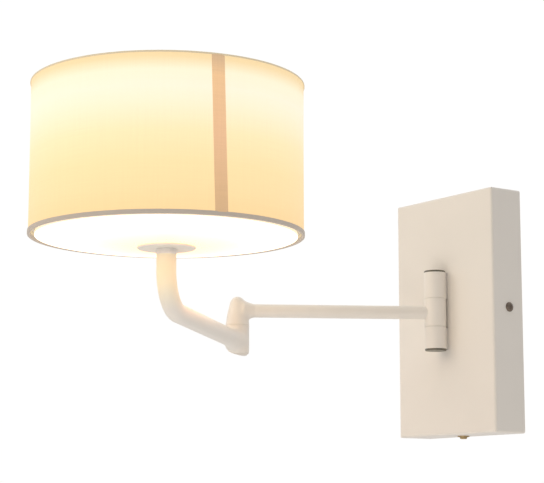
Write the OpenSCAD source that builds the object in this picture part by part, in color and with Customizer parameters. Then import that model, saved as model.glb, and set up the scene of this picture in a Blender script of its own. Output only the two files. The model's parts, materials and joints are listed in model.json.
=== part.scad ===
// Swing arm wall sconce with a drum shade.
// Frame: the wall is the plane Y = 0, the front of the box faces -Y, +Z is up,
// and the origin is the centre of the wall plate's back face.
// The arms are drawn at rest: the upper arm swung to the left, the lower arm folded back to the right.

/* [Wall box] */
// Width of the wall box
box_w = 120; // [118:1:140]
// Height of the wall box
box_h = 200; // [190:1:240]
// Depth of the wall box, from the wall to its front face
box_d = 32; // [31:0.5:38]
// Sheet thickness of the box cover
box_wall = 1.6; // [1.4:0.1:2]
// Radius of the outer edges of the box cover
box_edge_r = 2; // [1.5:0.25:2.5]

/* [Wall pivot] */
// Outer radius of the pivot knuckles
knuckle_r = 9; // [8.5:0.1:9.5]
// Distance of the pivot axis in front of the box
pivot_standoff = 10; // [10:0.5:12]
// Height of the knuckle on the arm
arm_knuckle_h = 23; // [20:1:25]
// Height of the fixed knuckle above the arm
top_knuckle_h = 21.5; // [18:0.5:24]
// Height of the fixed knuckle below the arm
bottom_knuckle_h = 18; // [17:0.5:24]

/* [Arms] */
// Upper arm length between its two pivot axes
upper_arm_l = 165; // [150:5:200]
// Lower arm length from the elbow axis to the riser axis
lower_arm_l = 180; // [165:5:200]
// Outer radius of the upper arm tube
upper_tube_r = 5.5; // [5.2:0.1:5.6]
// Outer radius of the lower arm tube
lower_tube_r = 7.25; // [7:0.05:7.3]
// Height of the upper arm's axis
arm_z = 1; // [0:0.5:2]
// Centre line radius of the bend below the shade
bend_r = 29; // [20:1:29]
// Upward slope of the lower arm, in degrees
lower_slope = 2; // [0:0.5:4]
// Upper arm's swing from straight out, to the left, in degrees
upper_swing = 30; // [0:5:60]
// Lower arm's swing from straight out, to the right, in degrees
lower_swing = 39; // [0:1:60]

/* [Shade] */
// Outer radius of the drum shade
shade_r = 100; // [98:1:110]
// Height of the drum shade
shade_h = 112; // [110:1:140]
// Height of the shade's bottom edge
shade_z = 34; // [33:0.5:36]
// Thickness of the laminated shade fabric
shade_t = 1.2; // [0.8:0.1:1.4]
// Width of the seam where the fabric overlaps
seam_w = 9.5; // [6:0.5:12]

/* [Fasteners] */
// Spacing of the two wall screw slots
wall_slot_spacing = 120; // [100:5:130]
// Width of a wall screw slot
wall_slot_w = 5.2; // [4.5:0.1:6]
// End to end length of a wall screw slot
wall_slot_l = 12; // [8:1:16]
// Height of the two cover screws
cover_screw_z = 2; // [-5:1:5]

/* [Hidden] */
$fn = 96;

ivory = "antiquewhite";
eps = 0.01;               // overcut of a hole past the face it opens through
slip = 0.05;              // radial clearance of a turning or sliding fit
snug = 0.02;              // radial clearance of a fixed fit
gap = 0.3;                // clearance of loose neighbours

plate_t = 1.5;            // wall plate sheet thickness
strap_w = 36;
strap_h = 176;
ear_h = 22;
ear_depth = 21;
ear_x = box_w / 2 - box_wall - gap;      // outer face of an ear
cover_screw_y = -14.5;
cable_z = -25;            // height of the supply cable's hole
cable_r = 4.5;
grommet_r = 10;
m4_r = 2;

front_y = -box_d;         // front face of the box
lining_y = front_y + box_wall;           // inside of the front face
pivot_y = front_y - pivot_standoff;
tongue_w = 8;             // neck that joins a fixed knuckle to its plate
bracket_w = 56;
bracket_h = 84;
bracket_t = 2;
stud_x = 21;
stud_z = 34;
stud_l = 7;

pin_r = 5;                // hollow pivot pins, M10 x 1
pin_bore_r = 3.5;
washer_t = 0.5;
lead_r = 1.9;             // two-core lead inside the arms

knuckle_top = arm_z + arm_knuckle_h / 2;
knuckle_bottom = arm_z - arm_knuckle_h / 2;
washer_gap = washer_t + 0.1;
fixed_top = knuckle_top + washer_gap + top_knuckle_h;
fixed_bottom = knuckle_bottom - washer_gap - bottom_knuckle_h;
pivot_cap_t = 1.6;

tube_wall = 1.5;
head_top = arm_z + 12;    // elbow castings
head_bottom = arm_z - 12;
elbow_r = 9.8;
elbow_gap = 0.6;          // friction washer between the two castings
base_top = head_bottom - elbow_gap;
base_bottom = base_top - 24.4;
lower_z = base_bottom + 12;              // lower arm axis at the elbow
boot_r = 20.5;            // rounded underside of the lower casting
boot_offset = 5;
nut_seat_z = base_top - 13.1;
counterbore_r = 7.9;
elbow_nut_af = 13;
elbow_nut_h = 4;
spring_washer_t = 1.3;

riser_corner_z = lower_z + lower_arm_l * tan(lower_slope);
bend_angle = 90 - lower_slope;
bend_tangent = bend_r * tan(bend_angle / 2);
bend_z = riser_corner_z + bend_tangent;
riser_top = 21;

nipple_r = 4;             // hollow lamp stem, M8 x 1
nipple_bore_r = 2.6;
collar_h = 4;
plate_r = 21.4;
dish_t = 2;
dish_r = shade_r - 4.6;
dish_rise = 7;
plate_z = riser_top + collar_h;
dish_z = plate_z + 1.5;
holder_z = dish_z + dish_t + 7;
holder_h = 46;
holder_r = 13.5;
hub_z = holder_z + 14;
shell_z = holder_z + 22;  // bulb seat
globe_r = 22.5;
globe_z = holder_z + holder_h + 27;
wire_r = 1.5;
spoke_r = 1.25;
ring_r = shade_r - shade_t - wire_r - 0.1;
bottom_ring_z = shade_z + 5.5;
top_ring_z = shade_z + shade_h - 2.5;
shade_top = shade_z + shade_h;
trim_w = 4;
trim_t = 0.45;
seam_angle = 39.4;          // seam's place, from the lower arm's direction

switch_x = 0;
switch_y = -13;
switch_floor = -box_h / 2 + box_wall;
button_r = 3.1;
button_proud = 2.6;
switch_neck_r = 3.9;
switch_h = 20;
chamber_z = switch_floor + 1.5;
chamber_top = switch_floor + switch_h - 3;

// ---- placing ----
module on_upper_arm() translate([0, pivot_y, 0]) rotate([0, 0, -90 - upper_swing]) children();
module on_elbow() on_upper_arm() translate([upper_arm_l, 0, 0]) children();
module on_lower_arm() on_elbow() rotate([0, 0, upper_swing + lower_swing]) children();
module on_riser() on_lower_arm() translate([lower_arm_l, 0, 0]) children();
module along_x() rotate([0, 90, 0]) children();
module along_y() rotate([-90, 0, 0]) children();

// ---- shared shapes ----
module tube(r, bore, h, z = 0) translate([0, 0, z]) difference() {
    cylinder(r = r, h = h);
    translate([0, 0, -eps]) cylinder(r = bore, h = h + 2 * eps);
}
module hex_nut(af, bore, h) difference() {
    cylinder(r = af / sqrt(3), h = h, $fn = 6);
    translate([0, 0, -eps]) cylinder(r = bore, h = h + 2 * eps);
}
module ring(r, wire) rotate_extrude() translate([r, 0]) circle(r = wire, $fn = 32);
// concave flare along +X, from radius r1 at x1 down to radius r2 at x2
module flare(x1, r1, x2, r2, steps = 10) {
    curve = [for (i = [0:steps]) let (t = i / steps)
        [r2 + (r1 - r2) * pow(1 - t, 2), x1 + (x2 - x1) * t]];
    along_x() rotate_extrude() polygon(concat([[0, x1]], curve, [[0, x2]]));
}
// rectangle with rounded corners
module rounded_rect(w, h, r) {
    square([w - 2 * r, h], center = true);
    square([w, h - 2 * r], center = true);
    for (x = [-1, 1], y = [-1, 1]) translate([x * (w / 2 - r), y * (h / 2 - r)]) circle(r = r);
}

// ---- wall plate and what is on it ----
module slot_hole(l, w) linear_extrude(plate_t + 2) {
    square([w, l - w], center = true);
    for (s = [-1, 1]) translate([0, s * (l - w) / 2]) circle(d = w);
}
module wall_plate() color("gainsboro") difference() {
    union() {
        translate([-strap_w / 2, -plate_t, -strap_h / 2]) cube([strap_w, plate_t, strap_h]);
        translate([-ear_x, -plate_t, cover_screw_z - ear_h / 2]) cube([2 * ear_x, plate_t, ear_h]);
        for (s = [-1, 1]) translate([s * (ear_x - plate_t / 2), -ear_depth / 2, cover_screw_z])
            cube([plate_t, ear_depth, ear_h], center = true);
    }
    for (s = [-1, 1]) translate([0, 1, s * wall_slot_spacing / 2]) rotate([90, 0, 0])
        slot_hole(wall_slot_l, wall_slot_w);
    translate([0, -plate_t - 1, cable_z]) along_y() cylinder(r = grommet_r, h = plate_t + 2);
    translate([-box_w / 2, cover_screw_y, cover_screw_z]) along_x()
        cylinder(r = m4_r + snug, h = box_w);
    translate([11, -plate_t - 1, -42]) along_y() cylinder(r = m4_r + snug, h = plate_t + 2);
}
module cable_grommet() color("dimgray") translate([0, 0, cable_z]) rotate([90, 0, 0]) difference() {
    union() {
        cylinder(r = grommet_r - snug, h = plate_t);
        translate([0, 0, plate_t]) cylinder(r = grommet_r + 2.5, h = 2);
    }
    translate([0, 0, -eps]) cylinder(r = cable_r, h = plate_t + 2 + 2 * eps);
}
module earth_screw() color("goldenrod") translate([11, 0, -42]) rotate([90, 0, 0]) difference() {
    union() {
        cylinder(r = m4_r, h = plate_t + 1);
        translate([0, 0, plate_t]) cylinder(r = 5, h = 1);
        translate([0, 0, plate_t + 1]) cylinder(r = 3.6, h = 2.4);
    }
    translate([0, 0, plate_t + 3.4]) cube([0.9, 8, 2], center = true);
}
terminal_pitch = 10;
terminal_z = 38;
module terminal_block() color("whitesmoke") translate([0, -plate_t, terminal_z]) difference() {
    union() {
        translate([-17, -4, -9]) cube([34, 4, 18]);
        for (i = [-1:1]) translate([i * terminal_pitch - 4, -13, -9]) cube([8, 13, 18]);
    }
    for (i = [-1:1]) translate([i * terminal_pitch, -6.5, -10]) cylinder(r = 2, h = 20);
    for (i = [-1:1], s = [-1, 1]) translate([i * terminal_pitch, -14, s * 4.5]) along_y()
        cylinder(r = 1.9, h = 7.5);
}
module terminal_screws() color("goldenrod") for (i = [-1:1], s = [-1, 1])
    translate([i * terminal_pitch, -plate_t - 12, terminal_z + s * 4.5]) along_y() difference() {
        cylinder(r = 1.75, h = 3.4);
        translate([0, 0, 0]) cube([0.6, 5, 1.2], center = true);
    }

// ---- box cover ----
// a section of the box with its two front corners rounded, front towards -Y
module front_rounded(w) {
    translate([-w / 2, -box_d + box_edge_r]) square([w, box_d - box_edge_r]);
    translate([-w / 2 + box_edge_r, -box_d]) square([w - 2 * box_edge_r, box_d]);
    for (s = [-1, 1]) translate([s * (w / 2 - box_edge_r), -box_d + box_edge_r])
        circle(r = box_edge_r);
}
module box_form() intersection() {
    translate([0, 0, -box_h / 2]) linear_extrude(box_h) front_rounded(box_w);
    translate([-box_w / 2, 0, 0]) rotate([90, 0, 90]) linear_extrude(box_w)
        mirror([1, -1]) front_rounded(box_h);
    rotate([90, 0, 0]) linear_extrude(box_d) rounded_rect(box_w, box_h, box_edge_r);
}
module tongue_slot(z0, z1) translate([-tongue_w / 2 - gap, front_y - 1, z0 - gap])
    cube([tongue_w + 2 * gap, box_wall + 2, z1 - z0 + 2 * gap]);
module box_cover() color(ivory) {
    difference() {
        box_form();
        translate([-box_w / 2 + box_wall, lining_y, -box_h / 2 + box_wall])
            cube([box_w - 2 * box_wall, box_d, box_h - 2 * box_wall]);
        translate([-box_w, cover_screw_y, cover_screw_z]) along_x()
            cylinder(r = m4_r + 0.3, h = 2 * box_w);
        translate([switch_x, switch_y, -box_h / 2 - 1]) cylinder(r = switch_neck_r + slip, h = box_wall + 2);
        tongue_slot(knuckle_top + washer_gap, fixed_top);
        tongue_slot(fixed_bottom, knuckle_bottom - washer_gap);
    }
    for (x = [-1, 1], z = [-1, 1]) translate([x * stud_x, lining_y - eps, arm_z + z * stud_z])
        along_y() cylinder(r = m4_r, h = stud_l);
}
module cover_screws() color("saddlebrown") for (s = [-1, 1]) scale([s, 1, 1])
    translate([box_w / 2 - 8, cover_screw_y, cover_screw_z]) along_x() difference() {
        union() {
            cylinder(r = m4_r, h = 8.5);
            intersection() {
                translate([0, 0, 8]) cylinder(r = 3.9, h = 2.4);
                translate([0, 0, 4.9]) sphere(r = 5.3);
            }
        }
        translate([0, 0, 10.2]) cube([8, 1, 1.4], center = true);
        translate([0, 0, 10.2]) cube([1, 8, 1.4], center = true);
    }

// ---- fixed half of the pivot ----
module fixed_knuckle(z0, z1) {
    translate([0, pivot_y, z0]) cylinder(r = knuckle_r, h = z1 - z0);
    translate([-tongue_w / 2, pivot_y, z0]) cube([tongue_w, lining_y - pivot_y + 0.5, z1 - z0]);
}
module hinge_bracket() color(ivory) difference() {
    union() {
        fixed_knuckle(knuckle_top + washer_gap, fixed_top);
        fixed_knuckle(fixed_bottom, knuckle_bottom - washer_gap);
        translate([-bracket_w / 2, lining_y, arm_z - bracket_h / 2])
            cube([bracket_w, bracket_t, bracket_h]);
    }
    translate([0, pivot_y, fixed_bottom - 1]) cylinder(r = pin_r + snug, h = fixed_top - fixed_bottom + 2);
    for (x = [-1, 1], z = [-1, 1]) translate([x * stud_x, lining_y - 1, arm_z + z * stud_z])
        along_y() cylinder(r = m4_r + 0.2, h = bracket_t + 2);
    translate([0, pivot_y, fixed_bottom + 8]) along_y() cylinder(r = 2.6, h = box_d);
}
module bracket_nuts() color("silver") for (x = [-1, 1], z = [-1, 1])
    translate([x * stud_x, lining_y + bracket_t, arm_z + z * stud_z]) along_y()
        hex_nut(7, m4_r + snug, 3.2);
module hinge_pin() color("silver") translate([0, pivot_y, 0]) difference() {
    tube(pin_r, pin_bore_r, fixed_top - fixed_bottom, fixed_bottom);
    translate([-10, -10, arm_z - 3]) cube([20, 12.6, 6]);
    translate([0, 0, fixed_bottom + 8]) along_y() cylinder(r = 2.6, h = 10);
}
module pivot_washers() color("white") translate([0, pivot_y, 0]) {
    tube(knuckle_r - 0.3, pin_r + slip, washer_t, knuckle_top + slip);
    tube(knuckle_r - 0.3, pin_r + slip, washer_t, knuckle_bottom - slip - washer_t);
}
module pivot_cap() {
    rotate_extrude() polygon([[0, 0], [knuckle_r - 0.1, 0], [knuckle_r - 0.1, pivot_cap_t - 0.5],
        [knuckle_r - 0.6, pivot_cap_t], [0, pivot_cap_t]]);
    translate([0, 0, -5]) cylinder(r = pin_bore_r - snug, h = 5);
}
module pivot_cap_top() color("dimgray") translate([0, pivot_y, fixed_top]) pivot_cap();
module pivot_cap_bottom() color("dimgray") translate([0, pivot_y, fixed_bottom])
    mirror([0, 0, 1]) pivot_cap();
// lead from the terminal block, forward through the bottom knuckle and up inside the pin
module box_lead() color("lightgray") {
    lead_z = fixed_bottom + 8;
    translate([0, -plate_t - 6.5, lead_z]) cylinder(r = lead_r, h = terminal_z - 9.5 - lead_z);
    translate([0, -plate_t - 6.5, lead_z]) sphere(r = lead_r);
    translate([0, pivot_y, lead_z]) along_y() cylinder(r = lead_r, h = -plate_t - 6.5 - pivot_y);
    translate([0, pivot_y, lead_z]) sphere(r = lead_r);
    translate([0, pivot_y, lead_z]) cylinder(r = lead_r, h = arm_z - lead_z);
}

// ---- push switch under the box ----
module switch_body() color("dimgray") translate([switch_x, switch_y, switch_floor]) difference() {
    union() {
        translate([-8, -6.5, 0]) cube([16, 13, switch_h]);
        translate([0, 0, -box_wall - 1]) cylinder(r = switch_neck_r, h = box_wall + 2);
        for (s = [-1, 1]) translate([s * 4, 0, switch_h + 1.5]) cube([3, 0.8, 5], center = true);
    }
    translate([0, 0, -box_wall - 2]) cylinder(r = button_r + slip, h = box_wall + 4);
    translate([0, 0, 1.5]) cylinder(r = 4.6, h = switch_h - 4.5);
}
module switch_nut() color("peru") translate([switch_x, switch_y, -box_h / 2 - 0.9])
    difference() {
        cylinder(r = 4.9, h = 0.9);
        translate([0, 0, -eps]) cylinder(r = switch_neck_r + snug, h = 2);
    }
module switch_button() color("peru") translate([switch_x, switch_y, 0]) rotate_extrude() polygon([
    [0, -box_h / 2 - button_proud], [button_r - 0.7, -box_h / 2 - button_proud],
    [button_r, -box_h / 2 - button_proud + 0.7], [button_r, chamber_z + 0.1],
    [4.3, chamber_z + 0.1], [4.3, chamber_z + 1.5], [0, chamber_z + 1.5]]);
module switch_spring() color("silver") translate([switch_x, switch_y, 0])
    tube(3.6, 2.9, chamber_top - chamber_z - 1.5, chamber_z + 1.5);

// ---- upper arm ----
module arm_knuckle() color(ivory) on_upper_arm() difference() {
    translate([0, 0, knuckle_bottom]) cylinder(r = knuckle_r, h = arm_knuckle_h);
    translate([0, 0, knuckle_bottom - 1]) cylinder(r = pin_r + slip, h = arm_knuckle_h + 2);
    translate([0, 0, arm_z]) along_x() cylinder(r = 3, h = 2 * knuckle_r);
    translate([6.4, 0, arm_z]) along_x() cylinder(r = upper_tube_r + snug, h = knuckle_r);
}
module arm_tube() color(ivory) on_upper_arm() translate([6.5, 0, arm_z]) along_x()
    tube(upper_tube_r, upper_tube_r - tube_wall, upper_arm_l - 8.5 - 6.5);
// domed head of the elbow: an oval dome on a slightly tapering skirt
module elbow_head_form() {
    dome_r = 6.7;
    dome_h = 7.4;
    dome = [for (a = [90:-7.5:0]) [dome_r * cos(a), head_top - dome_h + dome_h * sin(a)]];
    rotate_extrude() polygon(concat(dome, [[elbow_r - 1, arm_z - 4], [elbow_r, head_bottom + 0.2],
        [elbow_r - 0.2, head_bottom], [0, head_bottom]]));
}
module elbow_head() color(ivory) on_elbow() difference() {
    union() {
        elbow_head_form();
        translate([0, 0, arm_z]) mirror([1, 0, 0]) flare(4, 9.3, 17, upper_tube_r + 0.1);
    }
    translate([0, 0, head_bottom - 1]) cylinder(r = pin_r + snug, h = 18);
    translate([0, 0, arm_z]) mirror([1, 0, 0]) translate([8.4, 0, 0]) along_x()
        cylinder(r = upper_tube_r + snug, h = 20);
    translate([0, 0, arm_z]) mirror([1, 0, 0]) along_x() cylinder(r = 3, h = 20);
}
module arm_lead() color("lightgray") on_upper_arm() translate([7, 0, arm_z]) along_x()
    cylinder(r = lead_r, h = upper_arm_l - 14);
module elbow_pin() color("silver") on_elbow() difference() {
    tube(pin_r, pin_bore_r, head_bottom + 16 - nut_seat_z + 6, nut_seat_z - 6);
    translate([0, 0, arm_z]) mirror([1, 0, 0]) along_x() cylinder(r = 3, h = 20);
}
module elbow_washer() color("white") on_elbow()
    tube(elbow_r - 0.3, pin_r + slip, elbow_gap - 0.1, base_top + 0.05);
module elbow_spring_washer() color("silver") on_elbow()
    tube(7, pin_r + slip, spring_washer_t, nut_seat_z - spring_washer_t - 0.1);
module elbow_nut() color("silver") on_elbow()
    translate([0, 0, nut_seat_z - spring_washer_t - 0.15 - elbow_nut_h])
        hex_nut(elbow_nut_af, pin_r + snug, elbow_nut_h);

// ---- lower arm ----
module along_lower_arm() translate([0, 0, lower_z]) rotate([0, -lower_slope, 0]) children();
socket_x = 14;            // where the lower tube starts, from the elbow axis
lap = 0.3;                // overlap of the straight runs into the bend
bend_swell = 0.03;
// the underside that the lower casting and its cap share, rounder on one side than on the other
module boot() translate([-12, boot_offset, base_bottom + boot_r]) along_x()
    cylinder(r = boot_r, h = 24);
module elbow_base() color(ivory) on_lower_arm() difference() {
    union() {
        intersection() {
            rotate_extrude() polygon([[0, base_bottom], [elbow_r - 0.3, base_bottom],
                [elbow_r, base_bottom + 0.3], [elbow_r, base_top - 0.2], [elbow_r - 0.2, base_top],
                [0, base_top]]);
            boot();
        }
        along_lower_arm() flare(4, 10.2, 32, lower_tube_r + 0.1);
    }
    translate([0, 0, base_bottom - 1]) cylinder(r = pin_r + slip, h = 30);
    translate([0, 0, base_bottom - 1]) cylinder(r = counterbore_r, h = nut_seat_z - base_bottom + 1);
    along_lower_arm() translate([socket_x - 0.1, 0, 0]) along_x()
        cylinder(r = lower_tube_r + snug, h = 30);
    translate([0, 0, lower_z - 4]) along_x() cylinder(r = 2.2, h = socket_x + 1);
}
module elbow_cap() color(ivory) on_lower_arm() intersection() {
    translate([0, 0, base_bottom]) cylinder(r = counterbore_r - snug, h = 4.8);
    boot();
}
// the swept form of the lower arm: straight run, bend and riser, each lapped into the bend,
// which is a hair thicker than the straight runs
module lower_sweep(r, start, top) {
    run = (lower_arm_l - bend_r + bend_r * sin(lower_slope)) / cos(lower_slope);
    translate([lower_arm_l - bend_r, 0, bend_z]) rotate([90, 0, 0]) {
        translate([bend_r, -lap, 0]) rotate([-90, 0, 0]) cylinder(r = r, h = top - bend_z + lap);
        rotate([0, 0, -bend_angle]) {
            rotate_extrude(angle = bend_angle) translate([bend_r, 0]) circle(r = r + bend_swell);
            translate([bend_r, lap, 0]) rotate([90, 0, 0]) cylinder(r = r, h = run - start + lap);
        }
    }
}
module lower_arm() color(ivory) on_lower_arm() difference() {
    lower_sweep(lower_tube_r, socket_x, riser_top);
    lower_sweep(lower_tube_r - tube_wall, socket_x - 1, riser_top + 1);
}
module lower_lead() color("lightgray") on_lower_arm() lower_sweep(lead_r, socket_x + 1, riser_top - 10.2);

// ---- lamp stem and diffuser ----
module riser_bush() color("goldenrod") on_riser()
    tube(lower_tube_r - tube_wall - snug, nipple_r + snug, 10, riser_top - 10);
module stem_nipple() color("silver") on_riser()
    tube(nipple_r, nipple_bore_r, holder_z + 6 - riser_top + 10, riser_top - 10);
module stem_collar() color("gray") on_riser() difference() {
    rotate_extrude() polygon([[0, riser_top], [lower_tube_r, riser_top],
        [lower_tube_r + 0.3, riser_top + 0.5], [lower_tube_r + 0.3, riser_top + collar_h - 0.5],
        [lower_tube_r, riser_top + collar_h], [0, riser_top + collar_h]]);
    translate([0, 0, riser_top - 1]) cylinder(r = nipple_r + slip, h = collar_h + 2);
}
module diffuser_plate() color("gainsboro") on_riser() difference() {
    rotate_extrude() polygon([[0, plate_z], [plate_r - 0.8, plate_z], [plate_r, plate_z + 0.6],
        [plate_r, plate_z + 1.1], [plate_r - 0.4, dish_z], [0, dish_z]]);
    translate([0, 0, plate_z - 1]) cylinder(r = nipple_r + slip, h = 4);
}
module diffuser() color("white") on_riser() {
    steps = 16;
    bowl = [for (i = [0:steps]) let (r = plate_r + (dish_r - plate_r) * i / steps,
        t = (r - plate_r) / (dish_r - plate_r)) [r, dish_z + dish_rise * t * t]];
    lift = [for (i = [steps:-1:0]) [bowl[i][0], bowl[i][1] + dish_t]];
    rotate_extrude() polygon(concat([[nipple_r + slip, dish_z]], bowl, lift,
        [[nipple_r + slip, dish_z + dish_t]]));
}
module clamp_nut() color("silver") on_riser() translate([0, 0, dish_z + dish_t])
    hex_nut(13, nipple_r + snug, 4);

// ---- lamp holder and bulb ----
module lamp_holder() color("white") on_riser() difference() {
    rotate_extrude() polygon([[0, holder_z], [9, holder_z], [10, holder_z + 1], [holder_r, hub_z - 6],
        [holder_r, hub_z - 2], [16.5, hub_z - 2], [16.5, hub_z], [holder_r, hub_z],
        [holder_r, holder_z + holder_h - 0.8], [holder_r - 0.8, holder_z + holder_h],
        [0, holder_z + holder_h]]);
    translate([0, 0, holder_z - 1]) cylinder(r = nipple_r + slip, h = 8);
    translate([0, 0, holder_z + 6]) cylinder(r = nipple_bore_r, h = 8);
    translate([0, 0, shell_z - 8]) cylinder(r = 8.2, h = holder_h);
}
module lamp_shell() color("goldenrod") on_riser() tube(8.18, 7.25, 22, shell_z - 1);
module lamp_contact() color("goldenrod") on_riser() translate([0, 0, shell_z - 8])
    cylinder(r = 3.2, h = 4);
module bulb_cap() color("silver") on_riser() rotate_extrude() polygon([
    [0, shell_z - 4], [2.4, shell_z - 4], [2.4, shell_z - 2.6], [6, shell_z],
    [6.95, shell_z + 1], [6.95, shell_z + 22], [7.8, holder_z + holder_h + 0.4],
    [7.8, holder_z + holder_h + 1], [0, holder_z + holder_h + 1]]);
// frosted globe on a flaring neck, open at the bottom where the cap closes it
module bulb_globe() color("lightyellow") on_riser() {
    neck_z = holder_z + holder_h + 1;
    glass_t = 1;
    start = asin(13 / globe_r);
    outer = [for (i = [0:24]) let (a = 180 - start - i * (180 - start) / 24)
        [globe_r * sin(a), globe_z + globe_r * cos(a)]];
    inner = [for (i = [24:-1:0]) let (a = 180 - start - i * (180 - start) / 24)
        [(globe_r - glass_t) * sin(a), globe_z + (globe_r - glass_t) * cos(a)]];
    rotate_extrude() polygon(concat([[7.6, neck_z], [8.6, neck_z + 2]], outer, inner,
        [[7.4, neck_z + 2.6], [6.6, neck_z]]));
}

// ---- shade ----
module shade_clamp_ring() color("white") on_riser() difference() {
    tube(18, holder_r + slip, 7, hub_z + 1.6);
    for (i = [0:11]) rotate([0, 0, 30 * i]) translate([18.4, 0, hub_z]) cylinder(r = 1, h = 12);
}
module shade_spider() color("silver") on_riser() {
    tube(24, holder_r + 0.3, 1.5, hub_z + 0.05);
    translate([0, 0, bottom_ring_z]) ring(ring_r, wire_r);
    rise = hub_z + 0.8 - bottom_ring_z;
    reach = ring_r - 22;
    for (i = [0:2]) rotate([0, 0, 60 + 120 * i]) translate([22, 0, hub_z + 0.8])
        rotate([0, 90 + atan(rise / reach), 0]) cylinder(r = spoke_r, h = norm([rise, reach]));
}
module shade_top_ring() color("silver") on_riser() translate([0, 0, top_ring_z]) ring(ring_r, wire_r);
module shade_skin() color("papayawhip") on_riser() tube(shade_r, shade_r - shade_t, shade_h, shade_z);
// tape folded over an edge: a tall leg outside, a short leg inside
module trim_profile(inside_leg) polygon([
    [shade_r - shade_t - trim_t, -trim_t], [shade_r + trim_t, -trim_t],
    [shade_r + trim_t, trim_w - trim_t], [shade_r + slip, trim_w - trim_t],
    [shade_r + slip, -slip], [shade_r - shade_t - slip, -slip],
    [shade_r - shade_t - slip, inside_leg], [shade_r - shade_t - trim_t, inside_leg]]);
module shade_trim_bottom() color("tan") on_riser() translate([0, 0, shade_z])
    rotate_extrude() trim_profile(3);
module shade_trim_top() color("tan") on_riser() translate([0, 0, shade_top]) mirror([0, 0, 1])
    rotate_extrude() trim_profile(0.8);
module shade_seam() color("burlywood") on_riser() {
    half_angle = asin(seam_w / 2 / shade_r);
    rotate([0, 0, seam_angle - half_angle]) translate([0, 0, shade_z + trim_w])
        rotate_extrude(angle = 2 * half_angle) translate([shade_r + slip, 0])
            square([0.4, shade_h - 2 * trim_w]);
}

wall_plate();
cable_grommet();
earth_screw();
terminal_block();
terminal_screws();
box_cover();
cover_screws();
hinge_bracket();
bracket_nuts();
hinge_pin();
pivot_washers();
pivot_cap_top();
pivot_cap_bottom();
box_lead();
switch_body();
switch_nut();
switch_spring();
switch_button();
arm_knuckle();
arm_tube();
elbow_head();
arm_lead();
elbow_pin();
elbow_washer();
elbow_spring_washer();
elbow_nut();
elbow_base();
elbow_cap();
lower_arm();
lower_lead();
riser_bush();
stem_nipple();
stem_collar();
diffuser_plate();
diffuser();
clamp_nut();
lamp_holder();
lamp_shell();
lamp_contact();
shade_clamp_ring();
shade_spider();
shade_top_ring();
shade_skin();
shade_trim_bottom();
shade_trim_top();
shade_seam();
bulb_cap();
bulb_globe();
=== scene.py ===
import json
import math

import bmesh
import bpy
from mathutils import Matrix, Vector, noise


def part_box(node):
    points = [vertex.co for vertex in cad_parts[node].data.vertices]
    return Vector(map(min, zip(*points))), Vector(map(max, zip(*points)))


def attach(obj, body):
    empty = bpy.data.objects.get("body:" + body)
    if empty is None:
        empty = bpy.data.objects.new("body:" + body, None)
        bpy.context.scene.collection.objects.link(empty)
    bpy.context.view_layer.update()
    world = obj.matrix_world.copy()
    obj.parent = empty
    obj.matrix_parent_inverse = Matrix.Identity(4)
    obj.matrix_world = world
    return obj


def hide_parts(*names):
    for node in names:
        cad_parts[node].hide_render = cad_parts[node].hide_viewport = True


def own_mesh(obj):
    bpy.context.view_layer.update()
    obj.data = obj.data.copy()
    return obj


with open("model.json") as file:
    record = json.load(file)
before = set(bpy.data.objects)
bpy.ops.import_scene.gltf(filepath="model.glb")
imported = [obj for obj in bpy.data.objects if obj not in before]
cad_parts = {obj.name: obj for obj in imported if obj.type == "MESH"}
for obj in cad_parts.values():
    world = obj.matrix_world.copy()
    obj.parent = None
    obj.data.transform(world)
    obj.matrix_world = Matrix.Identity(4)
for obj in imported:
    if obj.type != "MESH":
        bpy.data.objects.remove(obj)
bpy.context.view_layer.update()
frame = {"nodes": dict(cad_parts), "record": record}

NODES = frame["nodes"]
MM = 0.001

# ---------------------------------------------------------------- places, from the frame
skin_low, skin_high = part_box("shade_skin")
AXIS = (skin_low + skin_high) / 2                      # middle of the shade
SHADE_R = (skin_high.x - skin_low.x) / 2
SHADE_BOTTOM, SHADE_TOP = skin_low.z, skin_high.z
FABRIC_T = 0.9 * MM
FABRIC_INSET = 0.15 * MM                               # the cloth's face stands this far inside SHADE_R
TRIM_T = 0.5 * MM
JOINTS = {joint["name"]: joint for joint in frame["record"]["behaviour"]["joints"]}


def shade_point(radius, angle, z):
    """A point on a circle round the shade's own axis."""
    return Vector((AXIS.x + radius * math.cos(angle), AXIS.y + radius * math.sin(angle), z))


def angle_of(node):
    """The direction of a CAD node's middle from the shade's axis."""
    low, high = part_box(node)
    middle = (low + high) / 2
    return math.atan2(middle.y - AXIS.y, middle.x - AXIS.x)


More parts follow.
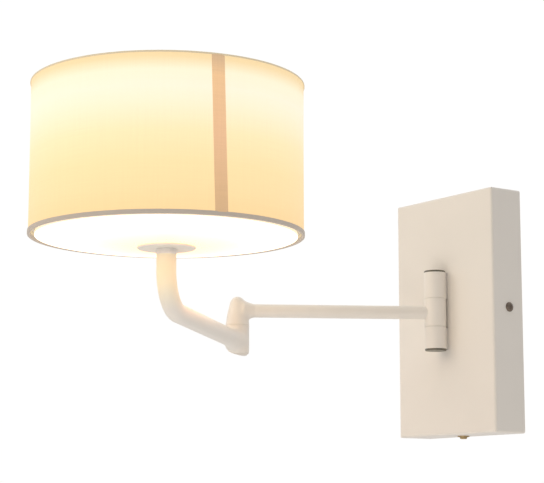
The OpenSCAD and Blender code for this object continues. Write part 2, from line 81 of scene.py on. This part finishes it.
# ---------------------------------------------------------------- node helpers
class Shader:
    """One material with its Principled shader and short helpers that add nodes to it."""

    def __init__(self, name, color, roughness=0.5, metallic=0.0, specular=0.5):
        self.mat = bpy.data.materials.new(name)
        self.mat.use_nodes = True
        self.nodes = self.mat.node_tree.nodes
        self.links = self.mat.node_tree.links
        self.bsdf = self.nodes["Principled BSDF"]
        self.color = color
        self.bsdf.inputs["Base Color"].default_value = (*color, 1)
        self.bsdf.inputs["Roughness"].default_value = roughness
        self.bsdf.inputs["Metallic"].default_value = metallic
        self.bsdf.inputs["Specular IOR Level"].default_value = specular
        self.where = self.nodes.new("ShaderNodeTexCoord").outputs["Object"]
        self.bumps = None

    def link(self, output, socket):
        self.links.new(output, self.bsdf.inputs[socket] if isinstance(socket, str) else socket)

    def noise(self, scale, detail=2.0, rough=0.5, stretch=(1, 1, 1)):
        """Noise in object space, scale in cells per metre; stretch squeezes it along the axes."""
        place = self.nodes.new("ShaderNodeMapping")
        place.inputs["Scale"].default_value = stretch
        self.link(self.where, place.inputs["Vector"])
        node = self.nodes.new("ShaderNodeTexNoise")
        node.inputs["Scale"].default_value = scale
        node.inputs["Detail"].default_value = detail
        node.inputs["Roughness"].default_value = rough
        self.link(place.outputs[0], node.inputs["Vector"])
        return node.outputs["Fac"]

    def remap(self, value, low, high, to_low, to_high):
        node = self.nodes.new("ShaderNodeMapRange")
        limits = {"From Min": low, "From Max": high, "To Min": to_low, "To Max": to_high}
        for name, number in limits.items():
            node.inputs[name].default_value = number
        self.link(value, node.inputs["Value"])
        return node.outputs[0]

    def math(self, operation, a, b=0.0):
        node = self.nodes.new("ShaderNodeMath")
        node.operation = operation
        for socket, value in zip(node.inputs, (a, b)):
            if isinstance(value, (int, float)):
                socket.default_value = value
            else:
                self.link(value, socket)
        return node.outputs[0]

    def ramp(self, value, stops):
        """A colour ramp: stops are (place, colour)."""
        node = self.nodes.new("ShaderNodeValToRGB")
        elements = node.color_ramp.elements
        while len(elements) < len(stops):
            elements.new(0.5)
        for element, (place, color) in zip(elements, stops):
            element.position = place
            element.color = (*color, 1)
        self.link(value, node.inputs["Fac"])
        return node.outputs["Color"]

    def vary_color(self, value, amount):
        """Lightens and darkens the base colour by that share, following value."""
        dark = [c * (1 - amount) for c in self.color]
        light = [min(1.0, c * (1 + amount)) for c in self.color]
        self.link(self.ramp(value, [(0.3, dark), (0.7, light)]), "Base Color")

    def vary_roughness(self, value, low, high):
        self.link(self.remap(value, 0.3, 0.7, low, high), "Roughness")

    def bump(self, value, height, strength=1.0):
        """Adds a layer of bump of that real height, in metres, on the layers before it."""
        node = self.nodes.new("ShaderNodeBump")
        node.inputs["Distance"].default_value = height
        node.inputs["Strength"].default_value = strength
        self.link(value, node.inputs["Height"])
        if self.bumps is not None:
            self.link(self.bumps, node.inputs["Normal"])
        self.bumps = node.outputs["Normal"]
        self.link(self.bumps, "Normal")

    def height_above(self, low, high):
        """0 at height low, 1 at height high."""
        split = self.nodes.new("ShaderNodeSeparateXYZ")
        self.link(self.where, split.inputs[0])
        return self.remap(split.outputs["Z"], low, high, 0.0, 1.0)


# ---------------------------------------------------------------- materials
def powder_coat(name="powder_coat", painted_glow=None):
    """Warm white powder coat: fine orange peel and faint mottling. The last argument is a height band over
    which the base colour turns from plain to a yellower tone: painted light, standing in for the lamp's warm
    glow on the coat close under the shade."""
    s = Shader(name, (0.85, 0.80, 0.74), roughness=0.42)
    s.vary_color(s.noise(18, detail=3), 0.012)
    if painted_glow:
        painted_glow_color = (0.90, 0.86, 0.66)
        # Painted light: the base colour turns yellower with height, for the lamp's warm glow near the shade.
        s.link(s.ramp(s.height_above(*painted_glow), [(0.0, s.color), (1.0, painted_glow_color)]), "Base Color")
    s.vary_roughness(s.noise(60, detail=4), 0.36, 0.50)
    s.bump(s.noise(900, detail=1), 0.03 * MM, 0.5)
    s.bump(s.noise(220, detail=2), 0.05 * MM, 0.35)
    s.bsdf.inputs["Coat Weight"].default_value = 0.12
    s.bsdf.inputs["Coat Roughness"].default_value = 0.25
    return s.mat


def plate_paint():
    s = Shader("plate_paint", (0.84, 0.80, 0.74), roughness=0.4)
    s.vary_color(s.noise(80, detail=3), 0.02)
    s.vary_roughness(s.noise(300, detail=3), 0.34, 0.48)
    s.bump(s.noise(900, detail=1), 0.02 * MM, 0.5)
    return s.mat


def turned_metal(name, color, roughness, lines=2600, scratch=0.35, metallic=1.0):
    """Metal turned or drawn on its axis: fine rings, cloudy roughness and small scratches."""
    s = Shader(name, color, roughness=roughness, metallic=metallic)
    rings = s.noise(lines, detail=1, stretch=(0.02, 0.02, 1))
    s.vary_color(s.noise(140, detail=4), 0.08)
    s.vary_roughness(s.noise(420, detail=5, rough=0.65), roughness * 0.7, min(1.0, roughness * 1.4))
    s.bump(rings, 0.012 * MM, scratch)
    s.bump(s.noise(700, detail=5, rough=0.7), 0.01 * MM, 0.3)
    return s.mat


def zinc_plate():
    """Zinc plated sheet: a cloudy passivated film over cold-rolled grain."""
    s = Shader("zinc_plate", (0.62, 0.63, 0.63), roughness=0.38, metallic=1.0)
    film = [(0.3, (0.50, 0.52, 0.53)), (0.5, (0.64, 0.65, 0.64)), (0.7, (0.72, 0.70, 0.63))]
    s.link(s.ramp(s.noise(55, detail=5, rough=0.65), film), "Base Color")
    s.vary_roughness(s.noise(240, detail=4), 0.26, 0.48)
    s.bump(s.noise(1400, detail=2, stretch=(1, 1, 0.06)), 0.01 * MM, 0.4)
    return s.mat


def dark_cap():
    """Gunmetal pivot disc with a lighter worn bloom."""
    s = Shader("dark_cap", (0.17, 0.16, 0.13), roughness=0.42, metallic=0.5)
    s.vary_color(s.noise(500, detail=4), 0.25)
    s.vary_roughness(s.noise(900, detail=3), 0.28, 0.46)
    s.bump(s.noise(2400, detail=1), 0.01 * MM, 0.4)
    return s.mat


def bronze():
    """Dark brown screw metal with warmer metal where it is rubbed. The dark brown is partly painted shade:
    brass screw heads darkened for the shaded side of the box where they sit.
    """
    s = Shader("bronze", (0.24, 0.19, 0.15), roughness=0.45, metallic=0.6)
    rubbed = [(0.35, (0.15, 0.12, 0.10)), (0.6, (0.24, 0.19, 0.15)), (0.8, (0.40, 0.29, 0.19))]
    s.link(s.ramp(s.noise(700, detail=5, rough=0.65), rubbed), "Base Color")
    s.vary_roughness(s.noise(1200, detail=3), 0.3, 0.55)
    s.bump(s.noise(2600, detail=2), 0.015 * MM, 0.4)
    return s.mat


def plastic(name, color, roughness, grain=1600, depth=0.012, subsurface=0.0):
    s = Shader(name, color, roughness=roughness)
    s.vary_color(s.noise(70, detail=3), 0.025)
    s.vary_roughness(s.noise(350, detail=3), roughness * 0.85, min(1.0, roughness * 1.15))
    s.bump(s.noise(grain, detail=2), depth * MM, 0.5)
    s.bsdf.inputs["Subsurface Weight"].default_value = subsurface
    s.bsdf.inputs["Subsurface Radius"].default_value = (0.002, 0.002, 0.0015)
    return s.mat


def opal_acrylic():
    """Lit opal acrylic: its glow grows from the stem out to the rim, and is strongest on the face turned
    down."""
    s = Shader("opal_acrylic", (0.62, 0.60, 0.52), roughness=0.3)
    offset = s.nodes.new("ShaderNodeVectorMath")
    offset.operation = "DISTANCE"
    offset.inputs[1].default_value = (AXIS.x, AXIS.y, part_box("diffuser")[0].z)
    s.link(s.where, offset.inputs[0])
    reach = s.math("MULTIPLY", offset.outputs["Value"], 1 / SHADE_R)
    glow = s.ramp(reach, [(0.26, (0.90, 0.36, 0.17)), (0.40, (0.95, 0.43, 0.21)), (0.52, (1.0, 0.52, 0.26)),
                          (0.66, (1.0, 0.68, 0.43)), (0.98, (1.0, 0.74, 0.52))])
    s.link(glow, "Emission Color")
    facing = s.nodes.new("ShaderNodeSeparateXYZ")
    s.link(s.where.node.outputs["Normal"], facing.inputs[0])
    s.link(s.remap(facing.outputs["Z"], -0.5, 0.2, 2.1, 0.3), "Emission Strength")
    s.vary_roughness(s.noise(500, detail=3), 0.24, 0.38)
    s.bump(s.noise(260, detail=2), 0.02 * MM, 0.4)
    return s.mat


def weave(s, pitch, height, strength):
    """Plain weave from the UV map, which is laid out in metres: over-and-under threads with slubs."""
    uv = s.nodes.new("ShaderNodeUVMap")
    split = s.nodes.new("ShaderNodeSeparateXYZ")
    s.link(uv.outputs[0], split.inputs[0])
    across = s.math("MULTIPLY", split.outputs["X"], math.pi / pitch)
    up = s.math("MULTIPLY", split.outputs["Y"], math.pi / pitch)
    warp = s.math("ABSOLUTE", s.math("SINE", across))
    weft = s.math("ABSOLUTE", s.math("SINE", up))
    side = s.math("SINE", across)
    over = s.math("SINE", s.math("ADD", up, math.pi / 2))
    turn = s.math("MULTIPLY", side, over)
    cloth = s.math("ADD", s.math("MULTIPLY", warp, 0.5), s.math("MULTIPLY", weft, 0.5))
    cloth = s.math("ADD", cloth, s.math("MULTIPLY", turn, 0.35))
    s.bump(cloth, height, strength)
    slub_v = s.noise(1.0, detail=3, rough=0.6, stretch=(900, 900, 14))
    slub_h = s.noise(1.0, detail=3, rough=0.6, stretch=(22, 22, 1500))
    slubs = s.math("ADD", slub_v, slub_h)
    return cloth, slubs


def shade_cloth(name, tint, glow_stops, glow_strength, weave_depth, slub_depth):
    """Laminated shade cloth lit from inside: its glow fades from a bright band near the top to the hem."""
    s = Shader(name, tint, roughness=0.85, specular=0.2)
    cloth, slubs = weave(s, 0.55 * MM, 0.10 * MM, 0.8)
    s.bump(slubs, 0.08 * MM, 0.35)
    s.bsdf.inputs["Sheen Weight"].default_value = 0.25
    s.bsdf.inputs["Sheen Roughness"].default_value = 0.5
    glow = s.ramp(s.height_above(SHADE_BOTTOM, SHADE_TOP), glow_stops)
    shadow = s.math("ADD", s.remap(cloth, 0.0, 1.2, 1.0 + weave_depth, 1.0 - weave_depth),
                    s.remap(slubs, 0.7, 1.3, slub_depth, -slub_depth))
    mix = s.nodes.new("ShaderNodeVectorMath")
    mix.operation = "SCALE"
    s.link(glow, mix.inputs[0])
    s.link(shadow, mix.inputs["Scale"])
    s.link(mix.outputs[0], "Emission Color")
    s.bsdf.inputs["Emission Strength"].default_value = glow_strength
    return s.mat


def fabric_mat():
    """Outside of the drum."""
    stops = [(0.06, (0.87, 0.60, 0.300)), (0.16, (0.88, 0.635, 0.33)), (0.32, (0.88, 0.67, 0.355)),
             (0.51, (0.88, 0.73, 0.435)), (0.70, (0.88, 0.807, 0.610)), (0.79, (0.90, 0.825, 0.670)),
             (0.89, (0.88, 0.815, 0.625)), (0.97, (0.82, 0.62, 0.35))]
    return shade_cloth("shade_fabric", (0.26, 0.21, 0.12), stops, 1.0, 0.05, 0.02)


def liner_mat():
    """Inside of the drum: the smooth translucent film that the cloth is laminated to. Its emission is painted
    light: the bulb's light on the film, painted as a glow that is brightest high up.
    """
    s = Shader("shade_liner", (0.58, 0.54, 0.44), roughness=0.45)
    stops = [(0.0, (1.0, 0.80, 0.50)), (0.5, (1.0, 0.93, 0.72)), (0.8, (1.0, 0.97, 0.82)),
             (1.0, (1.0, 0.86, 0.60))]
    s.link(s.ramp(s.height_above(SHADE_BOTTOM, SHADE_TOP), stops), "Emission Color")
    s.bsdf.inputs["Emission Strength"].default_value = 0.32
    s.vary_roughness(s.noise(90, detail=3), 0.38, 0.55)
    s.bump(s.noise(160, detail=3), 0.05 * MM, 0.4)
    return s.mat


def seam_mat():
    """The overlap: two layers of cloth, so less light comes through."""
    stops = [(0.0, (0.50, 0.32, 0.17)), (0.12, (0.56, 0.35, 0.18)), (0.50, (0.705, 0.42, 0.235)),
             (0.86, (0.74, 0.46, 0.235)), (1.0, (0.50, 0.34, 0.20))]
    return shade_cloth("seam_fabric", (0.25, 0.18, 0.12), stops, 1.0, 0.07, 0.05)


def tape_mat(name, color, glow, strength):
    """Bias tape over an edge: a tighter weave that lets little light through."""
    s = Shader(name, color, roughness=0.8, specular=0.25)
    slubs = weave(s, 0.40 * MM, 0.08 * MM, 0.8)[1]
    s.vary_color(slubs, 0.06)
    s.bump(s.noise(300, detail=3), 0.08 * MM, 0.3)
    s.bsdf.inputs["Sheen Weight"].default_value = 0.2
    s.bsdf.inputs["Emission Color"].default_value = (*glow, 1)
    s.bsdf.inputs["Emission Strength"].default_value = strength
    return s.mat


def frosted_glass():
    """Frosted globe, lit."""
    s = Shader("frosted_glass", (1.0, 0.97, 0.9), roughness=0.35)
    glow = [(0.3, (1.0, 0.86, 0.62)), (0.7, (1.0, 0.92, 0.72))]
    s.link(s.ramp(s.noise(60, detail=3), glow), "Emission Color")
    s.bsdf.inputs["Emission Strength"].default_value = 1.6
    s.vary_roughness(s.noise(800, detail=3), 0.3, 0.45)
    s.bump(s.noise(2200, detail=2), 0.01 * MM, 0.4)
    return s.mat


COAT = powder_coat()
ZINC = zinc_plate()
BRASS = turned_metal("brass", (0.80, 0.58, 0.27), 0.28)
MATERIALS = {
    "powder_coat": COAT,
    "plate_paint": plate_paint(),
    "zinc_steel": ZINC,
    "grey_metal": turned_metal("grey_metal", (0.80, 0.77, 0.74), 0.5, metallic=0.3),
    "wire_frame": plastic("coated_wire", (0.80, 0.78, 0.74), 0.35),
    "brass": BRASS,
    "switch_brass": turned_metal("switch_brass", (0.50, 0.37, 0.20), 0.36),
    "bronze": bronze(),
    "pivot_dark": dark_cap(),
    "nylon": plastic("nylon", (0.74, 0.71, 0.65), 0.4, subsurface=0.3),
    "white_plastic": plastic("white_plastic", (0.82, 0.80, 0.75), 0.32),
    "black_plastic": plastic("black_plastic", (0.03, 0.03, 0.032), 0.5, grain=2400, depth=0.03),
    "rubber": plastic("rubber", (0.025, 0.025, 0.026), 0.75, grain=1200, depth=0.03),
    "lead_sheath": plastic("lead_sheath", (0.62, 0.60, 0.56), 0.55),
    "diffuser_acrylic": opal_acrylic(),
    "bulb_metal": turned_metal("bulb_metal", (0.70, 0.69, 0.67), 0.3, lines=400),
    "bulb_glass": frosted_glass(),
}
SLOT_OF = {row["node"]: row["material_slot"] for row in frame["record"]["subparts"]}


def finish_cad_nodes():
    """Gives every CAD node that stays its material."""
    riser_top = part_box("lower_arm")[1].z
    # The lower arm's coat has painted lamp light: its base colour turns yellower over the riser's top, just
    # under the shade.
    painted_glow = powder_coat("coat_with_painted_glow", (riser_top - 40 * MM, riser_top - 22 * MM))
    for name, obj in NODES.items():
        if SLOT_OF[name] in MATERIALS:
            obj.data.materials.clear()
            obj.data.materials.append(painted_glow if name == "lower_arm" else MATERIALS[SLOT_OF[name]])


# ---------------------------------------------------------------- shade pieces
def add_mesh(name, bm, mats, replaced, body="lower_arm", smooth_angle=40):
    """Links a bmesh as a piece, with smooth shading under that angle, and places it on its body."""
    mesh = bpy.data.meshes.new(name)
    bmesh.ops.recalc_face_normals(bm, faces=bm.faces)
    bm.to_mesh(mesh)
    bm.free()
    for mat in mats:
        mesh.materials.append(mat)
    obj = bpy.data.objects.new(name, mesh)
    bpy.context.scene.collection.objects.link(obj)
    mesh.shade_smooth()
    mesh.set_sharp_from_angle(angle=math.radians(smooth_angle))
    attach(obj, body)
    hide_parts(replaced)
    return obj


def swept_ring(profile, steps, wobble, material_of=None):
    """Sweeps a closed (radius, z) profile once round the shade's axis. UVs are in metres, so that a
    weave has its real size."""
    bm = bmesh.new()
    uv = bm.loops.layers.uv.new("UVMap")
    around = [0.0]
    for (r0, z0), (r1, z1) in zip(profile, profile[1:] + profile[:1]):
        around.append(around[-1] + math.hypot(r1 - r0, z1 - z0))
    rows = []
    for i in range(steps):
        angle = 2 * math.pi * i / steps
        row = []
        for r, z in profile:
            dr, dz = wobble(angle, z)
            row.append(bm.verts.new(shade_point(r + dr, angle, z + dz)))
        rows.append(row)
    n = len(profile)
    for i in range(steps):
        here, there = rows[i], rows[(i + 1) % steps]
        u0, u1 = (2 * math.pi * k / steps * SHADE_R for k in (i, i + 1))
        for j in range(n):
            k = (j + 1) % n
            face = bm.faces.new((here[j], there[j], there[k], here[k]))
            if material_of:
                face.material_index = material_of(j)
            v0, v1 = around[j], around[j + 1]
            for loop, where in zip(face.loops, ((u0, v0), (u1, v0), (u1, v1), (u0, v1))):
                loop[uv].uv = where
    return bm


DRUM_STEPS = 240
SEAM_ANGLE = angle_of("shade_seam") + (0.9 * MM) / SHADE_R
SEAM_HALF = (4.75 * MM) / SHADE_R
SEAM_LEAN = -(3.3 * MM) / SHADE_R                      # how far the seam leans over between hem and top


def seam_middle(z):
    """The direction of the seam's middle at that height: the lap isn't quite square to the hem."""
    return SEAM_ANGLE + SEAM_LEAN * ((z - SHADE_BOTTOM) / (SHADE_TOP - SHADE_BOTTOM) - 0.5)


def drum_wobble(angle, z):
    """The small unevenness of cloth glued to a film and rolled round two wire rings."""
    lobes = 0.16 * math.sin(3 * angle + 0.7) + 0.09 * math.sin(7 * angle + 2.1)
    belly = math.sin(math.pi * (z - SHADE_BOTTOM) / (SHADE_TOP - SHADE_BOTTOM))
    waves = 0.14 * noise.noise(Vector((4 * math.cos(angle), 4 * math.sin(angle), 30 * z)))
    return (lobes * 0.5 + waves * belly - 0.10 * belly) * MM, 0.0


def shade_drum():
    """The laminated drum: cloth outside and film inside. shade_overlap makes the rise at its seam."""
    levels = 28
    heights = [SHADE_BOTTOM + (SHADE_TOP - SHADE_BOTTOM) * i / levels for i in range(levels + 1)]
    outer = [(SHADE_R - FABRIC_INSET, z) for z in heights]
    inner = [(SHADE_R - FABRIC_INSET - FABRIC_T, z) for z in reversed(heights)]
    bm = swept_ring(outer + inner, DRUM_STEPS, drum_wobble, lambda j: 1 if j > levels else 0)
    return add_mesh("shade_fabric_drum", bm, [fabric_mat(), liner_mat()],
                    replaced="shade_skin")


def shade_overlap():
    """The seam: the end of the cloth lapped over its beginning and glued, with a folded edge on each side."""
    t = 0.55 * MM
    sunk = -0.1 * MM
    levels = 24
    low, high = SHADE_BOTTOM + 2.2 * MM, SHADE_TOP - 0.6 * MM
    heights = [low + (high - low) * i / levels for i in range(levels + 1)]
    steps = 10
    bm = bmesh.new()
    uv = bm.loops.layers.uv.new("UVMap")
    rows = []
    for i in range(steps + 1):
        across = 2 * i / steps - 1
        lift = t * (1 - 0.75 * abs(across) ** 6)
        row = []
        for z in heights:
            angle = seam_middle(z) + SEAM_HALF * across
            bulge = drum_wobble(angle, z)[0]
            row.append([bm.verts.new(shade_point(SHADE_R + bulge + out, angle, z)) for out in (lift, sunk)])
        rows.append(row)

    def quad(a, b, c, d, uvs):
        face = bm.faces.new((a, b, c, d))
        for loop, where in zip(face.loops, uvs):
            loop[uv].uv = where

    for i, (here, there) in enumerate(zip(rows, rows[1:])):
        u0, u1 = (2 * SEAM_HALF * SHADE_R * k / steps for k in (i, i + 1))
        for j in range(levels):
            v0, v1 = heights[j], heights[j + 1]
            face_uvs = ((u0, v0), (u1, v0), (u1, v1), (u0, v1))
            for layer in (0, 1):
                quad(here[j][layer], there[j][layer], there[j + 1][layer], here[j + 1][layer], face_uvs)
        for j in (0, levels):
            quad(here[j][0], there[j][0], there[j][1], here[j][1], ((u0, 0), (u1, 0), (u1, t), (u0, t)))
    for row in (rows[0], rows[-1]):
        for lower, upper in zip(row, row[1:]):
            quad(lower[0], upper[0], upper[1], lower[1], ((0, 0), (1, 0), (1, 1), (0, 1)))
    return add_mesh("shade_seam_overlap", bm, [seam_mat()], replaced="shade_seam")


def trim(name, node, edge_z, inward, leg, inner_leg, mat):
    """Tape folded over an edge: rounded fold, long leg outside, short leg inside."""
    out, mid = SHADE_R + TRIM_T, SHADE_R - FABRIC_INSET
    inn = SHADE_R - FABRIC_INSET - FABRIC_T
    skin = 0.05 * MM
    turn = 8
    flatness = 0.55
    centre = (out + inn - TRIM_T) / 2
    half = (out - inn + TRIM_T) / 2
    angles = [math.pi * i / turn for i in range(turn + 1)]
    fold = [(centre + half * math.cos(a), -half * flatness * math.sin(a)) for a in angles]
    inside = [(inn - TRIM_T, inner_leg), (inn - skin, inner_leg), (inn - skin, skin * 2)]
    outside = [(mid + skin * 3, skin * 2), (mid + skin * 4, leg)]
    profile = [(out, leg)] + fold + inside + outside
    points = [(r, edge_z + inward * z) for r, z in profile]

    def wobble(angle, z):
        away = 0.06 * noise.noise(Vector((30 * math.cos(angle), 30 * math.sin(angle), 5)))
        return drum_wobble(angle, z)[0] + away * MM, away * 0.6 * MM

    bm = swept_ring(points, DRUM_STEPS, wobble)
    return add_mesh(name, bm, [mat], replaced=node, smooth_angle=50)


def shade_trims():
    bottom = tape_mat("trim_bottom_tape", (0.34, 0.30, 0.26), (0.52, 0.44, 0.37), 0.36)
    top = tape_mat("trim_top_tape", (0.42, 0.37, 0.28), (0.85, 0.68, 0.42), 0.40)
    return [trim("trim_bottom", "shade_trim_bottom", SHADE_BOTTOM, 1, 2.6 * MM, 2.2 * MM, bottom),
            trim("trim_top", "shade_trim_top", SHADE_TOP, -1, 0.9 * MM, 0.9 * MM, top)]


# ---------------------------------------------------------------- switch
def coil_spring(turns=6, wire=0.32 * MM, steps=24, sides=8):
    """The switch's return spring, wound wire in the place of the CAD node's plain sleeve."""
    low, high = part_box("switch_spring")
    middle = (low + high) / 2
    winding = (high.x - low.x) / 2 - wire
    bm = bmesh.new()
    rings = []
    for i in range(turns * steps + 1):
        angle = 2 * math.pi * i / steps
        z = low.z + wire + (high.z - low.z - 2 * wire) * i / (turns * steps)
        ring = []
        for j in range(sides):
            side = 2 * math.pi * j / sides
            r = winding + wire * math.cos(side)
            ring.append(bm.verts.new((middle.x + r * math.cos(angle), middle.y + r * math.sin(angle),
                                      z + wire * math.sin(side))))
        rings.append(ring)
    for here, there in zip(rings, rings[1:]):
        for j in range(sides):
            k = (j + 1) % sides
            bm.faces.new((here[j], there[j], there[k], here[k]))
    bm.faces.new(rings[0])
    bm.faces.new(rings[-1][::-1])
    spring = add_mesh("switch_coil_spring", bm, [ZINC],
                      replaced="switch_spring", body="wall_box")
    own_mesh(spring)


# ---------------------------------------------------------------- cast elbow
HEAD_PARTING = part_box("elbow_head")[0].z
BASE_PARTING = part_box("elbow_base")[1].z
PARTING_MIDDLE = (HEAD_PARTING + BASE_PARTING) / 2
RIM = 1.2 * MM                                         # the height beside the parting that stays sharp
SHOULDER, ELBOW = (Vector(JOINTS[name]["pos_m"]) for name in ("arm_swing", "elbow_swing"))
ARM_Z = (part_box("arm_tube")[0].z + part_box("arm_tube")[1].z) / 2
UPPER_TUBE_R = (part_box("arm_tube")[1].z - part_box("arm_tube")[0].z) / 2
LOWER_TUBE_R = 7.25 * MM
LOWER_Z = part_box("elbow_base")[0].z + 12 * MM          # height of the lower arm's line at the elbow
LOWER_SLOPE = math.radians(2)
SOCKET_GAP = 0.05 * MM
VOXEL = 0.4 * MM
SMOOTHING_ROUNDS = 100


def socket_plug(bm, start, heading, rise, radius, first, last):
    """A cylinder from first to last along a tube's line, which fills that tube's socket."""
    flat = (heading - start).xy.normalized()
    line = Vector((flat.x * math.cos(rise), flat.y * math.cos(rise), math.sin(rise)))
    turn = line.to_track_quat("Z", "Y").to_matrix().to_4x4()
    bmesh.ops.create_cone(bm, cap_ends=True, segments=64, radius1=radius, radius2=radius, depth=last - first,
                          matrix=Matrix.Translation(start + line * (first + last) / 2) @ turn)


def soften(source, name, body, parting, plug):
    """A cast form of a CAD node: its own shape with its tube socket filled, remeshed and smoothed so that
    its roots flow into each other. The rim at the parting plane stays sharp and comes up to it."""
    mesh = NODES[source].data.copy()
    filled = bmesh.new()
    filled.from_mesh(mesh)
    socket_plug(filled, *plug)
    filled.to_mesh(mesh)
    filled.free()
    obj = bpy.data.objects.new(name, mesh)
    bpy.context.scene.collection.objects.link(obj)
    remesh = obj.modifiers.new("remesh", "REMESH")
    remesh.mode = "VOXEL"
    remesh.voxel_size = VOXEL
    done = bpy.data.meshes.new_from_object(obj.evaluated_get(bpy.context.evaluated_depsgraph_get()))
    obj.modifiers.clear()
    bm = bmesh.new()
    bm.from_mesh(done)
    loose = [v for v in bm.verts if abs(v.co.z - parting) > RIM]
    rim = [v for v in bm.verts if abs(v.co.z - parting) <= RIM]
    for _ in range(SMOOTHING_ROUNDS):
        bmesh.ops.smooth_vert(bm, verts=loose, factor=0.5, use_axis_x=True, use_axis_y=True, use_axis_z=True)
    for v in rim:
        near = 1 - abs(v.co.z - parting) / RIM
        v.co.z += near * (PARTING_MIDDLE - parting) * 0.8
    bm.to_mesh(done)
    bm.free()
    obj.data = done
    done.name = name
    done.materials.clear()
    done.materials.append(COAT)
    done.shade_smooth()
    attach(obj, body)
    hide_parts(source)


# ---------------------------------------------------------------- stage
CAMERA_PLACE = (1.0794, -0.9781, -0.1691)
CAMERA_RISE, CAMERA_TURN = 9.199, 54.522               # degrees up from level, and round from facing +Y
CAMERA_LENS, CAMERA_SENSOR = 113.8, 36                 # mm
FLOOR_SIZE, FLOOR_Z = 40, -0.75
BRIGHT_SIDE = (-0.46, 0.57, 0.67)                      # the direction that the surroundings are brightest in
WARM, SOFT_WARM, CREAM = (1.0, 0.87, 0.72), (1.0, 0.95, 0.90), (1.0, 0.92, 0.80)


def camera():
    """Stands out in the room, to the right of the box and a little below it, looking up."""
    data = bpy.data.cameras.new("camera")
    data.sensor_width = CAMERA_SENSOR
    data.lens = CAMERA_LENS
    obj = bpy.data.objects.new("camera", data)
    obj.location = CAMERA_PLACE
    obj.rotation_euler = (math.radians(90 + CAMERA_RISE), 0, math.radians(CAMERA_TURN))
    bpy.context.scene.collection.objects.link(obj)
    bpy.context.scene.camera = obj


def area_light(name, place, target, size, power, color):
    data = bpy.data.lights.new(name, "AREA")
    data.shape = "DISK"
    data.size = size
    data.energy = power
    data.color = color
    obj = bpy.data.objects.new(name, data)
    obj.visible_camera = False
    obj.location = place
    obj.rotation_euler = (Vector(target) - Vector(place)).to_track_quat("-Z", "Y").to_euler()
    bpy.context.scene.collection.objects.link(obj)


def studio():
    """Pale floor well below the light, pale surroundings, and soft lamps."""
    bpy.ops.mesh.primitive_plane_add(size=FLOOR_SIZE, location=(0, 0, FLOOR_Z))
    floor = bpy.context.object
    floor.name = "floor"
    s = Shader("pale_floor", (0.80, 0.79, 0.78), roughness=0.7)
    s.vary_color(s.noise(3, detail=3), 0.01)
    floor.data.materials.append(s.mat)
    world = bpy.data.worlds.new("studio")
    bpy.context.scene.world = world
    world.use_nodes = True
    nodes, links = world.node_tree.nodes, world.node_tree.links
    towards = nodes.new("ShaderNodeVectorMath")
    towards.operation = "DOT_PRODUCT"
    towards.inputs[1].default_value = BRIGHT_SIDE
    links.new(nodes.new("ShaderNodeTexCoord").outputs["Generated"], towards.inputs[0])
    room = nodes.new("ShaderNodeMapRange")
    for name, number in (("From Min", -1), ("From Max", 1), ("To Min", -0.14), ("To Max", 1.12)):
        room.inputs[name].default_value = number
    links.new(towards.outputs["Value"], room.inputs["Value"])
    strength = nodes.new("ShaderNodeMapRange")
    strength.inputs["To Max"].default_value = 1.02
    links.new(nodes.new("ShaderNodeLightPath").outputs["Is Camera Ray"], strength.inputs["Value"])
    lit = nodes.new("ShaderNodeMath")
    lit.operation = "MAXIMUM"
    lit.inputs[1].default_value = 0.0
    links.new(room.outputs[0], lit.inputs[0])
    links.new(lit.outputs[0], strength.inputs["To Min"])
    background = nodes["Background"]
    background.inputs["Color"].default_value = (1.0, 0.995, 0.985, 1)
    links.new(strength.outputs[0], background.inputs["Strength"])
    middle = (0, -0.05, 0)
    area_light("key", (-0.8, -1.65, 0.9), middle, 1.3, 8.0, WARM)
    area_light("front", (0.0, -1.85, 0.2), middle, 1.3, 1.8, WARM)
    area_light("top", (0.3, -1.1, 1.45), middle, 1.3, 2.4, SOFT_WARM)
    area_light("low_fill", (0.5, -0.9, -0.65), (-0.1, -0.15, 0), 0.9, 3.2, CREAM)


finish_cad_nodes()
drum = shade_drum()
shade_overlap()
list(shade_trims())
coil_spring()
upper_root = Vector((ELBOW.x, ELBOW.y, ARM_Z))
lower_root = Vector((ELBOW.x, ELBOW.y, LOWER_Z))
soften("elbow_head", "elbow_head_cast", "upper_arm", HEAD_PARTING,
       (upper_root, SHOULDER, 0, UPPER_TUBE_R + SOCKET_GAP, 2 * MM, 15.5 * MM))
soften("elbow_base", "elbow_base_cast", "lower_arm", BASE_PARTING,
       (lower_root, AXIS, LOWER_SLOPE, LOWER_TUBE_R + SOCKET_GAP, 4 * MM, 30 * MM))
camera()
studio()
bpy.context.scene.view_settings.view_transform = "Standard"
